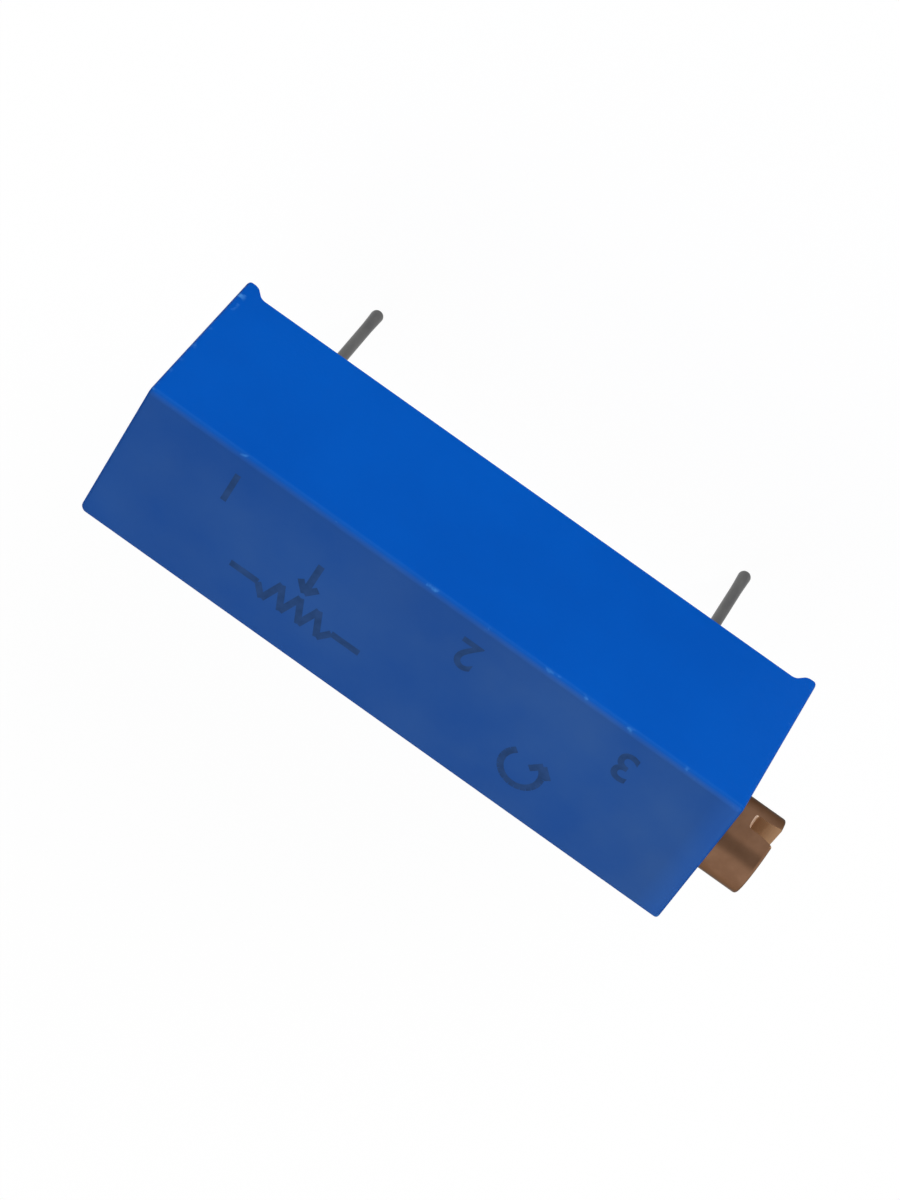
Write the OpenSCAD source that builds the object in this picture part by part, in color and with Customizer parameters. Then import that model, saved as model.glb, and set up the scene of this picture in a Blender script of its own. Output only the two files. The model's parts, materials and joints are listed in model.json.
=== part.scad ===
// Multi-turn trimmer potentiometer in a rectangular case, for a printed board.
// X runs along the case with the screw head at -X, Y runs across it and Z points up from the board.
// The origin is the middle of the footprint, in the plane on which the standoff rails rest.

/* [Case] */
// Length of the case over its two ends
case_l = 19.05; // [17.2:0.05:24]
// Width of the case
case_w = 4.83; // [4.4:0.01:6]
// Height of the case above the board, standoff rails included
case_h = 6.35; // [5.8:0.05:8]
// Width of the ledge inside each side wall on which the ceramic plate rests
ledge_w = 0.2; // [0.1:0.01:0.3]
// Thickness of the end walls around the ceramic plate
end_wall = 0.86; // [0.8:0.01:1.1]
// Thickness of the roof over the carriage
roof_wall = 0.5; // [0.35:0.01:0.7]
// Rounding of the outer edges of the case
edge_r = 0.11; // [0.1:0.01:0.4]
// Height of the standoff rails under both ends
rail_h = 0.38; // [0.2:0.01:0.45]
// Length of each standoff rail where it rests on the board
rail_l = 0.32; // [0.2:0.01:0.6]
// Length of the slope from each rail up to the lower edge of the case
rail_slope = 0.28; // [0:0.01:0.5]
// Depth of the sealing resin below the lower edge of the case
seal_recess = 0.12; // [0.05:0.01:0.2]

/* [Resistance element] */
// Height of the underside of the ceramic plate above the board
plate_z = 1.2; // [1.1:0.01:1.3]
// Thickness of the ceramic plate
plate_t = 0.64; // [0.5:0.01:0.7]
// Thickness of the printed films on the plate
film_t = 0.05; // [0.03:0.01:0.08]
// Width of the resistive track
track_w = 0.7; // [0.65:0.01:0.8]
// Distance of the resistive track's middle from the case's middle plane
track_y = 0.75; // [0.7:0.01:0.8]
// Width of the collector track
collector_w = 0.6; // [0.55:0.01:0.7]
// Distance of the collector track's middle from the case's middle plane
collector_y = 0.55; // [0.5:0.01:0.58]
// Length of track kept beyond the last place that the wiper reaches
track_spare = 0.7; // [0.5:0.01:0.9]

/* [Terminals] */
// Diameter of each terminal pin
pin_d = 0.38; // [0.3:0.01:0.5]
// Distance between the two end terminals
pin_span = 12.7; // [11.5:0.01:14]
// Place of the wiper terminal along the case, negative towards the screw head
wiper_pin_x = -1.27; // [-3:0.01:3]
// Distance between the row of the end terminals and the wiper terminal
pin_row = 2.54; // [2.4:0.01:2.9]
// Length of the terminal pins below the board plane
pin_below = 3.81; // [2.5:0.01:6]
// Diameter of the collar that stops each pin under the plate
collar_d = 0.8; // [0.7:0.01:0.9]
// Height of each pin above the films
pin_proud = 0.14; // [0.1:0.01:0.2]
// Diameter of the solder fillet around each pin
solder_d = 0.84; // [0.7:0.01:0.9]

/* [Lead screw] */
// Depth of the screw's axis below the top of the case
screw_depth = 1.78; // [1.6:0.01:2]
// Diameter of the slotted head and shank
head_d = 2.4; // [2.2:0.01:2.42]
// Length of the head outside the case
head_out = 1.31; // [0.9:0.01:2]
// Chamfer around the end of the head
head_edge = 0.08; // [0.03:0.01:0.2]
// Width of the screwdriver slot
slot_w = 0.5; // [0.35:0.01:0.7]
// Depth of the screwdriver slot
slot_depth = 0.76; // [0.4:0.01:0.9]
// Angle of the slot around the screw's axis, from +Y towards +Z
slot_angle = 164; // [0:1:180]
// Outer diameter of the thread
thread_d = 1.72; // [1.55:0.01:1.8]
// Pitch of the thread
thread_pitch = 0.6; // [0.55:0.01:0.62]
// Turns of the screw from one end of the track to the other
turns = 15; // [13:1:15]
// Diameter of the neck that the retainer clip straddles
neck_d = 1.4; // [1.2:0.01:1.5]
// Diameter of the journal at the inner end of the screw
journal_d = 1; // [0.7:0.01:1.3]
// Length of that journal
journal_l = 1.1; // [0.6:0.01:1.3]

/* [Seal ring and clip] */
// Thickness of the rubber ring's section
ring_t = 0.46; // [0.35:0.01:0.5]
// Distance of the ring's middle from the outer face of the case
ring_inset = 0.95; // [0.7:0.01:1.1]
// Thickness of the retainer clip
clip_t = 0.3; // [0.2:0.01:0.35]

/* [Carriage and wiper] */
// Length of the carriage
carriage_l = 3.6; // [3:0.01:3.7]
// Height of the carriage's cheeks above the screw's axis
cheek_h = 0.7; // [0.3:0.01:1]
// Height of the carriage's underside above the ceramic plate
wiper_room = 0.92; // [0.85:0.01:1]
// Thickness of the wiper's sheet metal
leaf_t = 0.08; // [0.06:0.01:0.1]
// Length of the wiper's mounting leaf
leaf_l = 2.4; // [2.2:0.01:2.6]
// Width of each contact finger
finger_w = 0.2; // [0.15:0.01:0.22]
// Pitch of the contact fingers
finger_pitch = 0.3; // [0.27:0.01:0.32]
// Diameter of the stakes that hold the wiper
stake_d = 0.4; // [0.3:0.01:0.42]
// Distance between the two stakes
stake_span = 1.3; // [1:0.01:1.4]

/* [Clearances] */
// Radial running clearance of the screw in the case, the clip and the carriage
shaft_gap = 0.03; // [0.02:0.01:0.05]
// Axial play of the screw at the clip and at its inner end
end_play = 0.05; // [0.03:0.01:0.1]
// Clearance at each side of the carriage
slide_gap = 0.08; // [0.05:0.01:0.12]
// Free length at each end of the carriage's travel
stop_room = 0.55; // [0.45:0.01:0.6]
// Clearance around parts that are placed by hand, such as the plate and the clip
fit_gap = 0.05; // [0.02:0.01:0.08]
// Clearance between a terminal pin and its hole in the plate
pin_gap = 0.02; // [0.01:0.01:0.04]
// Bare margin between the films or the solder and the walls of the case
film_margin = 0.065; // [0.03:0.005:0.1]
// Clearance between the wiper's finger tips and the films
touch_gap = 0.01; // [0.01:0.01:0.02]

/* [Hidden] */
$fn = 96;
over = 1;
travel = turns * thread_pitch;
plate_top = plate_z + plate_t;
film_top = plate_top + film_t;
case_end = case_l / 2;
screw_z = case_h - screw_depth;
room_y = (pin_row + solder_d) / 2 + film_margin;
room_x = max((carriage_l + travel) / 2 + stop_room, (pin_span + solder_d) / 2 + film_margin);
room_top = case_h - roof_wall;
skirt_x = case_end - end_wall;
skirt_y = room_y + ledge_w;
clip_inner_x = -room_x - end_play;
clip_outer_x = clip_inner_x - clip_t;
head_wall_x = clip_outer_x - fit_gap;
head_r = head_d / 2;
bore_r = head_r + shaft_gap;
ring_x = -case_end + ring_inset;
ring_r = bore_r - end_play / 5 - ring_t / 2;
groove_r = ring_r - ring_t / 2;
groove_l = ring_t + 2 * fit_gap;
carriage_w = 2 * (room_y - slide_gap);
carriage_z = plate_top + wiper_room;
nut_r = thread_d / 2 + shaft_gap;
pin_r = pin_d / 2;
seal_z = rail_h + seal_recess;
track_half = travel / 2 + track_spare;
film_pin_r = pin_r + pin_gap;
wiper_y = (collector_y - track_y) / 2;
stake_places = [-stake_span / 2, stake_span / 2];
pin_x = [pin_span / 2, wiper_pin_x, -pin_span / 2];
pin_y = [-pin_row / 2, pin_row / 2, -pin_row / 2];

// ---------- shared shapes ----------

// A block between two corners.
module block(low, high) {
    translate(low) cube(high - low);
}

// A flat rectangle with round corners, about the origin.
module rounded_rectangle(a, b, r) {
    square([a - 2 * r, b], center = true);
    square([a, b - 2 * r], center = true);
    for (sx = [-1, 1], sy = [-1, 1])
        translate([sx * (a / 2 - r), sy * (b / 2 - r)]) circle(r);
}

// Stands a flat outline, drawn as Y and Z, across the case and gives it a length along X.
module across(x, length) {
    translate([x, 0, 0]) rotate([90, 0, 90]) linear_extrude(length) children();
}

// Stands a flat outline, drawn as X and Z, along the case and gives it a width about y.
module along(y, width) {
    translate([0, y, 0]) rotate([90, 0, 0]) linear_extrude(width, center = true) children();
}

// A rod or bore on the screw's axis from x0 to x1.
module on_screw_axis(r, x0, x1) {
    translate([x0, 0, screw_z]) rotate([0, 90, 0]) cylinder(r = r, h = x1 - x0);
}

// Puts its children at one of the three terminals, numbered from the inner end of the screw.
module at_terminal(number) {
    translate([pin_x[number - 1], pin_y[number - 1], 0]) children();
}

// ---------- case ----------

// The case from the side: round corners, and two rails left standing under the ends.
module side_outline() {
    rail_in = case_end - rail_l;
    wall_in = rail_in - rail_slope;
    difference() {
        translate([0, case_h / 2]) rounded_rectangle(case_l, case_h, edge_r);
        polygon([
            [-rail_in, 0], [-wall_in, rail_h], [wall_in, rail_h],
            [rail_in, 0], [rail_in, -over], [-rail_in, -over],
        ]);
    }
}

// The outside of the case: the three rounded outlines cut each other.
module case_blank() {
    intersection() {
        along(0, case_w) side_outline();
        linear_extrude(case_h) rounded_rectangle(case_l, case_w, edge_r);
        across(-case_end, case_l)
            translate([0, (case_h - over) / 2]) rounded_rectangle(case_w, case_h + over, edge_r);
    }
}

module housing() {
    color([0.02, 0.33, 0.73])
    difference() {
        case_blank();
        // pocket for the ceramic plate and the resin, open below
        block([-skirt_x, -skirt_y, -over], [skirt_x, skirt_y, plate_top]);
        // room for the carriage and the screw's thread
        block([head_wall_x, -room_y, plate_top - over], [room_x, room_y, room_top]);
        // grooves that the retainer clip slides up into
        block([head_wall_x, -skirt_y, plate_top - over], [clip_inner_x + fit_gap, skirt_y, room_top]);
        // bore for the screw's shank, and the blind bearing for its inner end
        on_screw_axis(bore_r, -case_end - over, head_wall_x + over);
        on_screw_axis(journal_d / 2 + shaft_gap, room_x - over, room_x + journal_l + end_play);
    }
}

module base_seal() {
    color([0.12, 0.2, 0.4])
    difference() {
        block([-skirt_x, -skirt_y, seal_z], [skirt_x, skirt_y, plate_z]);
        for (number = [1:3]) at_terminal(number) pin_shape();
    }
}

// ---------- resistance element ----------

module ceramic_substrate() {
    color([0.93, 0.92, 0.88])
    difference() {
        block([-skirt_x + fit_gap, -skirt_y + fit_gap, plate_z],
              [skirt_x - fit_gap, skirt_y - fit_gap, plate_top]);
        for (number = [1:3]) at_terminal(number) film_hole(plate_z);
    }
}

// The hole that a terminal pin passes through, upwards from z.
module film_hole(z) {
    translate([0, 0, z - over]) cylinder(r = film_pin_r, h = plate_t + film_t + 2 * over);
}

module cermet_track() {
    color([0.16, 0.15, 0.17])
    block([-track_half, -track_y - track_w / 2, plate_top],
          [track_half, -track_y + track_w / 2, film_top]);
}

module collector_track() {
    color([0.78, 0.76, 0.72])
    difference() {
        union() {
            block([-track_half, collector_y - collector_w / 2, plate_top],
                  [track_half, collector_y + collector_w / 2, film_top]);
            block([wiper_pin_x - solder_d / 2, collector_y, plate_top],
                  [wiper_pin_x + solder_d / 2, pin_row / 2, film_top]);
            at_terminal(2) translate([0, 0, plate_top]) cylinder(d = solder_d, h = film_t);
        }
        at_terminal(2) film_hole(plate_top);
    }
}

// A silver end pad, from the end of the resistive track to just past terminal pin 1.
module end_pad() {
    color([0.78, 0.76, 0.72])
    difference() {
        block([track_half, -(pin_row + solder_d) / 2, plate_top],
              [(pin_span + solder_d) / 2, -track_y + track_w / 2, film_top]);
        at_terminal(1) film_hole(plate_top);
    }
}

module end_pad_1() { end_pad(); }

module end_pad_3() { mirror([1, 0, 0]) end_pad(); }

// ---------- terminals ----------

// A round pin with a round tip, and the thicker collar in the resin that stops it under the plate.
module pin_shape() {
    tip_z = -pin_below + pin_r;
    translate([0, 0, tip_z]) sphere(pin_r);
    translate([0, 0, tip_z]) cylinder(r = pin_r, h = film_top + pin_proud - tip_z);
    translate([0, 0, seal_z]) cylinder(d = collar_d, h = plate_z - seal_z);
}

module terminal_pin(number) {
    color([0.42, 0.42, 0.42]) at_terminal(number) pin_shape();
}

module terminal_pin_1() { terminal_pin(1); }

module terminal_pin_2() { terminal_pin(2); }

module terminal_pin_3() { terminal_pin(3); }

// The solder that joins a pin to its film, as a sloping fillet.
module solder_joint(number) {
    color([0.7, 0.7, 0.72])
    at_terminal(number)
    translate([0, 0, film_top])
    rotate_extrude()
        polygon([
            [pin_r, 0], [solder_d / 2, 0], [(pin_r + solder_d / 2) / 2, pin_proud * 0.45],
            [pin_r + pin_gap, pin_proud], [pin_r, pin_proud],
        ]);
}

module solder_joint_1() { solder_joint(1); }

module solder_joint_2() { solder_joint(2); }

module solder_joint_3() { solder_joint(3); }

// ---------- lead screw ----------

module lead_screw() {
    head_x = -case_end - head_out;
    neck_x0 = clip_outer_x - end_play;
    neck_x1 = clip_inner_x + end_play;
    thread_end = room_x - end_play;
    journal_end = room_x + journal_l;
    color([0.62, 0.44, 0.3])
    difference() {
        translate([0, 0, screw_z]) rotate([0, 90, 0]) rotate_extrude()
            polygon([
                [0, head_x], [head_r - head_edge, head_x], [head_r, head_x + head_edge],
                [head_r, ring_x - groove_l / 2], [groove_r, ring_x - groove_l / 2],
                [groove_r, ring_x + groove_l / 2], [head_r, ring_x + groove_l / 2],
                [head_r, neck_x0], [neck_d / 2, neck_x0],
                [neck_d / 2, neck_x1], [thread_d / 2, neck_x1],
                [thread_d / 2, thread_end], [journal_d / 2, thread_end],
                [journal_d / 2, journal_end], [0, journal_end],
            ]);
        translate([head_x, 0, screw_z]) rotate([slot_angle, 0, 0])
            block([-over, -head_d, -slot_w / 2], [slot_depth, head_d, slot_w / 2]);
    }
}

module shaft_o_ring() {
    color([0.08, 0.08, 0.08])
    translate([ring_x, 0, screw_z]) rotate([0, 90, 0]) rotate_extrude()
        translate([ring_r, 0]) circle(d = ring_t);
}

module shaft_retainer_clip() {
    half_w = skirt_y - fit_gap;
    corner = (half_w - neck_d / 2) / 4;
    slot_r = neck_d / 2 + shaft_gap;
    top = room_top - fit_gap;
    color([0.75, 0.76, 0.78])
    across(clip_outer_x, clip_t)
    difference() {
        polygon([
            [-half_w, plate_top], [half_w, plate_top], [half_w, top - corner],
            [half_w - corner, top], [-half_w + corner, top], [-half_w, top - corner],
        ]);
        translate([0, screw_z]) circle(slot_r);
        translate([-slot_r, plate_top - over]) square([2 * slot_r, screw_z - plate_top + over]);
    }
}

// ---------- carriage and wiper ----------

// A saddle under the screw: its round channel is the half nut, its cheeks keep it upright.
module wiper_carriage() {
    color([0.9, 0.88, 0.8]) {
        across(-carriage_l / 2, carriage_l)
        difference() {
            translate([-carriage_w / 2, carriage_z])
                square([carriage_w, screw_z + cheek_h - carriage_z]);
            translate([0, screw_z]) circle(nut_r);
            translate([-nut_r, screw_z]) square([2 * nut_r, cheek_h + over]);
        }
        for (x = stake_places)
            translate([x, wiper_y, carriage_z - leaf_t]) {
                cylinder(d = stake_d, h = leaf_t + over / 10);
                translate([0, 0, -leaf_t]) cylinder(d = stake_d + 2 * leaf_t, h = leaf_t);
            }
    }
}

// One contact finger from the side: it folds back under the leaf, slopes down and turns up.
module finger_outline() {
    fold_r = 1.5 * leaf_t;
    fold_x = -leaf_l / 2;
    fold_z = carriage_z - fold_r;
    low_z = fold_z - fold_r + leaf_t / 2;
    knee = [leaf_l / 20, film_top + touch_gap + leaf_t / 2];
    tip = [knee[0] + 4 * leaf_t, knee[1] + 2 * leaf_t];
    difference() {
        translate([fold_x, fold_z]) circle(fold_r);
        translate([fold_x, fold_z]) circle(fold_r - leaf_t);
        translate([fold_x, fold_z - over]) square([over, 2 * over]);
    }
    strip([fold_x, low_z], knee);
    strip(knee, tip);
    for (end = [knee, tip]) translate(end) circle(leaf_t / 2);
}

// A straight strip of sheet from one place to another.
module strip(from, to) {
    run = to - from;
    translate(from) rotate(atan2(run[1], run[0]))
        translate([0, -leaf_t / 2]) square([norm(run), leaf_t]);
}

module wiper_contact() {
    finger_rows = [-track_y, collector_y];
    leaf_w = collector_y + track_y + finger_pitch + finger_w;
    color([0.86, 0.7, 0.36]) {
        difference() {
            block([-leaf_l / 2, wiper_y - leaf_w / 2, carriage_z - leaf_t],
                  [leaf_l / 2, wiper_y + leaf_w / 2, carriage_z]);
            for (x = stake_places)
                translate([x, wiper_y, carriage_z - over])
                    cylinder(d = stake_d + 2 * pin_gap, h = 2 * over);
        }
        for (row = finger_rows, k = [-0.5, 0.5])
            along(row + k * finger_pitch, finger_w) finger_outline();
    }
}

housing();
base_seal();
ceramic_substrate();
cermet_track();
collector_track();
end_pad_1();
end_pad_3();
terminal_pin_1();
terminal_pin_2();
terminal_pin_3();
solder_joint_1();
solder_joint_2();
solder_joint_3();
lead_screw();
shaft_o_ring();
shaft_retainer_clip();
wiper_carriage();
wiper_contact();
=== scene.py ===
# %% [markdown]
# # A multi-turn trimmer potentiometer
#
# The part is a narrow blue plastic case, 19 mm long, with a slotted brass screw at one end and
# three wire pins below. Inside, the screw drives a small carriage along a ceramic plate. The
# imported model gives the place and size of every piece, so this script only models their
# surfaces, edges and finishes. It works in millimetres, and turns each finished mesh to metres.

import json
import math

import bmesh
import bpy
from mathutils import Matrix, Vector


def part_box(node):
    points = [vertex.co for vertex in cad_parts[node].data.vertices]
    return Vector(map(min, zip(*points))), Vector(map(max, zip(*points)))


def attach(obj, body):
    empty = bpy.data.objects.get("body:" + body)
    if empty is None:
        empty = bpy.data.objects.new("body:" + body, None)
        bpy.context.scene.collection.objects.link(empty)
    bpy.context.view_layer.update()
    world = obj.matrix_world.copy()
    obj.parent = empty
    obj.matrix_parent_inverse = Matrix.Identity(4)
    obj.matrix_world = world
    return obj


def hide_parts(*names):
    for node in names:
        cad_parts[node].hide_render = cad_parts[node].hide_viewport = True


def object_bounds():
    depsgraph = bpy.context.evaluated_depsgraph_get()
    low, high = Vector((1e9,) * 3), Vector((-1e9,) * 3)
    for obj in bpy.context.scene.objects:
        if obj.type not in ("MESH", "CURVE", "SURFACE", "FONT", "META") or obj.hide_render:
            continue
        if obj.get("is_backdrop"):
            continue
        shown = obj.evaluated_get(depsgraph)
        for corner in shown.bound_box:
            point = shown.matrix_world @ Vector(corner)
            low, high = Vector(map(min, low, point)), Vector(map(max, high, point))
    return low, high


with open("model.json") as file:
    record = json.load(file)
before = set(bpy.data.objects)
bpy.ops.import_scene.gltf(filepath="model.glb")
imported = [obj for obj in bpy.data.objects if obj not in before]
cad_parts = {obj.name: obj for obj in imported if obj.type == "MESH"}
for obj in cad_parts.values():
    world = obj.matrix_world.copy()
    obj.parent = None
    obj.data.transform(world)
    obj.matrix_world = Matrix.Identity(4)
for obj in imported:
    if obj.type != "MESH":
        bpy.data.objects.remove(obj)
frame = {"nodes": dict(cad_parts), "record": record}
cad_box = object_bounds()

MM = 0.001
body_of = {
    node: body
    for body, nodes in frame["record"]["behaviour"]["bodies"].items()
    for node in nodes
}
print("nodes in the frame:", len(body_of))


# %% Read sizes from the frame
def box_mm(node):
    """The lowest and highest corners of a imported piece, in millimetres."""
    low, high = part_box(node)
    return Vector(low) / MM, Vector(high) / MM


case_low, case_high = box_mm("housing")
seal_low, seal_high = box_mm("base_seal")
plate_low, plate_high = box_mm("ceramic_substrate")
clip_low, clip_high = box_mm("shaft_retainer_clip")
screw_low, screw_high = box_mm("lead_screw")
ring_low, ring_high = box_mm("shaft_o_ring")
carriage_low, carriage_high = box_mm("wiper_carriage")

case_size = case_high - case_low
head_r = (screw_high.y - screw_low.y) / 2
axis_z = screw_low.z + head_r
print("case in mm:", [round(v, 2) for v in case_size], "screw axis at z", round(axis_z, 2))

# %% [markdown]
# ## Small tools
#
# Every piece goes through the same few steps: it is built as a bmesh, its normals are made to
# point outwards, it is scaled to metres, and its smooth and sharp edges are set. Planar faces
# beside a bevel keep a flat shade with weighted normals.


# %% Finish a mesh as a piece
def finish_piece(name, bm, sharp_degrees=40):
    """Turns a bmesh in millimetres into a smooth-shaded object in metres."""
    bmesh.ops.scale(bm, vec=(MM, MM, MM), verts=bm.verts)
    mesh = bpy.data.meshes.new(name)
    bm.to_mesh(mesh)
    bm.free()
    mesh.shade_smooth()
    mesh.set_sharp_from_angle(angle=math.radians(sharp_degrees))
    piece = bpy.data.objects.new(name, mesh)
    bpy.context.scene.collection.objects.link(piece)
    weighted = piece.modifiers.new("flat faces stay flat", "WEIGHTED_NORMAL")
    weighted.keep_sharp = True
    print(name, "has", len(mesh.polygons), "faces")
    return piece


def stand_for(piece, node, material):
    """Gives a piece its material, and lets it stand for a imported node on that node's body."""
    piece.data.materials.append(material)
    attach(piece, body_of[node])
    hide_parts(node)


# %% Shape a mesh
def whole(bm):
    """Everything in a mesh, for the operators that take it all."""
    return bm.verts[:] + bm.edges[:] + bm.faces[:]


def add_box(bm, low, high):
    """Adds a closed box between two corners."""
    low, high = Vector(low), Vector(high)
    place = Matrix.Translation((low + high) / 2) @ Matrix.Diagonal((*(high - low), 1))
    bmesh.ops.create_cube(bm, size=1, matrix=place)


def add_lathe(bm, profile, centre, axis, steps=64):
    """Spins an outline of (distance along the axis, radius) points into a closed solid."""
    centre, axis = Vector(centre), Vector(axis)
    side = axis.orthogonal().normalized()
    verts = [bm.verts.new(centre + axis * along + side * radius) for along, radius in profile]
    edges = [bm.edges.new(pair) for pair in zip(verts, verts[1:])]
    bmesh.ops.spin(
        bm, geom=verts + edges, cent=centre, axis=axis, angle=2 * math.pi,
        steps=steps, use_merge=True)


WELD = 1e-4


def tidy(bm):
    """Welds the seams and poles, and turns every face outwards."""
    bmesh.ops.remove_doubles(bm, verts=bm.verts, dist=WELD)
    bmesh.ops.recalc_face_normals(bm, faces=bm.faces)


def round_edges(bm, edges, radius, segments, clamp=True):
    """Bevels the given edges to an even rounding."""
    bmesh.ops.bevel(
        bm, geom=edges, offset=radius, offset_type="OFFSET", affect="EDGES",
        segments=segments, profile=0.5, material=-1, clamp_overlap=clamp)


def combine(stock, tool, operation):
    """Adds one closed mesh to another, or subtracts it, and returns the result."""
    objects = []
    for name, source in (("stock", stock), ("tool", tool)):
        mesh = bpy.data.meshes.new(name)
        source.to_mesh(mesh)
        source.free()
        objects.append(bpy.data.objects.new(name, mesh))
        bpy.context.scene.collection.objects.link(objects[-1])
    boolean = objects[0].modifiers.new("boolean", "BOOLEAN")
    boolean.operation = operation
    boolean.solver = "EXACT"
    boolean.object = objects[1]
    bpy.context.view_layer.update()
    result = bmesh.new()
    result.from_object(objects[0], bpy.context.evaluated_depsgraph_get())
    for done in objects:
        bpy.data.objects.remove(done)
    return result


# %% [markdown]
# ## Tools for finishes
#
# A finish starts from a Principled shader with typical values. One function adds a node with its
# settings and links, and one turns the usual hex colours into the linear values that Blender uses.


# %% Add nodes and colours
def srgb(code):
    """A hex colour as the linear red, green, blue and alpha that a shader takes."""
    channels = [int(code[i:i + 2], 16) / 255 for i in (1, 3, 5)]
    linear = [c / 12.92 if c <= 0.04045 else ((c + 0.055) / 1.055) ** 2.4 for c in channels]
    return (*linear, 1.0)


def add_node(tree, kind, feeds=None, **settings):
    """Adds one node: settings are its properties, feeds its sockets' values or sources."""
    made = tree.nodes.new(kind)
    for key, value in settings.items():
        setattr(made, key, value)
    for key, value in (feeds or {}).items():
        if isinstance(value, bpy.types.NodeSocket):
            tree.links.new(value, made.inputs[key])
        else:
            made.inputs[key].default_value = value
    return made


def start_finish(name, colour, **sockets):
    """A new material with a Principled shader, its colour and its constant sockets."""
    material = bpy.data.materials.new(name)
    material.use_nodes = True
    tree = material.node_tree
    shader = tree.nodes["Principled BSDF"]
    shader.inputs["Base Color"].default_value = srgb(colour)
    for key, value in sockets.items():
        shader.inputs[key.replace("_", " ")].default_value = value
    return material, tree, shader


def grain(tree, size_mm, detail=3.0, stretch=(1, 1, 1)):
    """Noise on the piece's own coordinates, with spots of a size given in millimetres."""
    place = add_node(tree, "ShaderNodeTexCoord")
    turned = add_node(
        tree, "ShaderNodeMapping", {"Vector": place.outputs["Object"], "Scale": stretch})
    noise = add_node(tree, "ShaderNodeTexNoise", {
        "Vector": turned.outputs["Vector"], "Scale": 1 / (size_mm * MM), "Detail": detail})
    return noise.outputs["Fac"]


def remap(tree, value, low, high, to_low=0.0, to_high=1.0):
    """Spreads the values between low and high over another range, and clamps the rest."""
    return add_node(tree, "ShaderNodeMapRange", {
        "Value": value, "From Min": low, "From Max": high,
        "To Min": to_low, "To Max": to_high}).outputs["Result"]


def combine_values(tree, operation, first, second):
    """One arithmetic step on two values of a finish."""
    return add_node(tree, "ShaderNodeMath", {0: first, 1: second}, operation=operation).outputs[0]


def mix_in(tree, factor, base, colour):
    """Lays a hex colour over a colour that is already in the tree, and returns the result."""
    mix = add_node(tree, "ShaderNodeMix", {"Factor": factor, 6: base}, data_type="RGBA")
    mix.inputs[7].default_value = srgb(colour)
    return mix.outputs[2]


def blend_colours(tree, shader, factor, first, second, low=0.35, high=0.65):
    """Feeds the shader's colour with a soft mix of two hex colours, and returns that mix."""
    blend = mix_in(tree, remap(tree, factor, low, high), srgb(first), second)
    tree.links.new(blend, shader.inputs["Base Color"])
    return blend


def add_relief(tree, shader, height, depth_mm):
    """Feeds the shader's normal with a bump of a real depth."""
    bump = add_node(tree, "ShaderNodeBump", {
        "Height": height, "Distance": depth_mm * MM, "Strength": 1.0})
    tree.links.new(bump.outputs["Normal"], shader.inputs["Normal"])


# %% [markdown]
# ## The camera
#
# The camera stands in front of the long side, 51 degrees up, and is rolled so that the case runs
# from upper left to lower right. A long lens from 115 mm away keeps the edges nearly parallel.

# %% Place the camera
camera_place = Vector((-1.599, -70.410, 91.137)) * MM
camera_right = Vector((-0.81503, -0.44492, -0.37117)).normalized()
camera_back = Vector((-0.01392, -0.62537, 0.78020)).normalized()
camera_up = camera_back.cross(camera_right).normalized()
camera_right = camera_up.cross(camera_back)

camera_data = bpy.data.cameras.new("camera")
camera_data.sensor_width = 36
camera_data.lens = 124.73
camera_data.clip_start = 1 * MM
camera_data.clip_end = 10
camera = bpy.data.objects.new("camera", camera_data)
turn = Matrix((camera_right, camera_up, camera_back)).transposed()
camera.matrix_world = Matrix.Translation(camera_place) @ turn.to_4x4()
bpy.context.scene.collection.objects.link(camera)
bpy.context.scene.camera = camera
print("camera distance in mm:", round(camera_place.length / MM, 1))

# %% [markdown]
# ## The case
#
# The real case is injection moulded in one shot: a box with a soft radius on its outer edges, open
# below, with a low rail under each end that keeps it off the board. A cube is cut across where the
# rails end, the middle of its underside is lifted, and the edges are rounded. The hollow and the
# bores are then subtracted, as the core pins of the mould would leave them, and so is the shallow
# round mark on the far end, where the plastic came in.

# %% Model the outside of the case
EDGE_R = 0.11
SOFT_R = 0.32
RAIL_L = 0.32
RAIL_SLOPE = 0.28
RAIL_H = 0.38
CREASE_R = 0.12
SQUARE_TURN = 60
TOUCH = 1e-3
rail_in = case_high.x - RAIL_L
wall_in = rail_in - RAIL_SLOPE


def is_corner(edge, degrees=20):
    """Whether two faces meet at an edge at more than a slight angle."""
    return len(edge.link_faces) == 2 and edge.calc_face_angle(0) > math.radians(degrees)


def case_outside():
    """The closed outer block of the case, with its rails and rounded edges."""
    bm = bmesh.new()
    add_box(bm, case_low, case_high)
    for x in (-rail_in, -wall_in, wall_in, rail_in):
        bmesh.ops.bisect_plane(bm, geom=whole(bm), plane_co=(x, 0, 0), plane_no=(1, 0, 0))
    middle = [v for v in bm.verts if v.co.z < TOUCH and abs(v.co.x) < wall_in + TOUCH]
    bmesh.ops.translate(bm, vec=(0, 0, RAIL_H), verts=middle)
    creases = [
        e for e in bm.edges
        if is_corner(e) and abs(e.verts[0].co.x - e.verts[1].co.x) < TOUCH
        and all(v.co.z < RAIL_H + TOUCH and abs(v.co.x) < rail_in + TOUCH for v in e.verts)
    ]
    round_edges(bm, creases, CREASE_R, 4)
    soft = [
        e for e in bm.edges
        if all(v.co.x > case_high.x - TOUCH and v.co.y > case_high.y - TOUCH for v in e.verts)
        or all(v.co.z > case_high.z - TOUCH and v.co.y < case_low.y + TOUCH for v in e.verts)
    ]
    round_edges(bm, soft, SOFT_R, 8)
    outer = [
        e for e in bm.edges
        if is_corner(e, SQUARE_TURN) and (
            all(v.co.z > case_high.z - TOUCH for v in e.verts)
            or all(abs(v.co.x) > case_high.x - TOUCH for v in e.verts))
    ]
    round_edges(bm, outer, EDGE_R, 4, clamp=False)
    return bm


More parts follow.
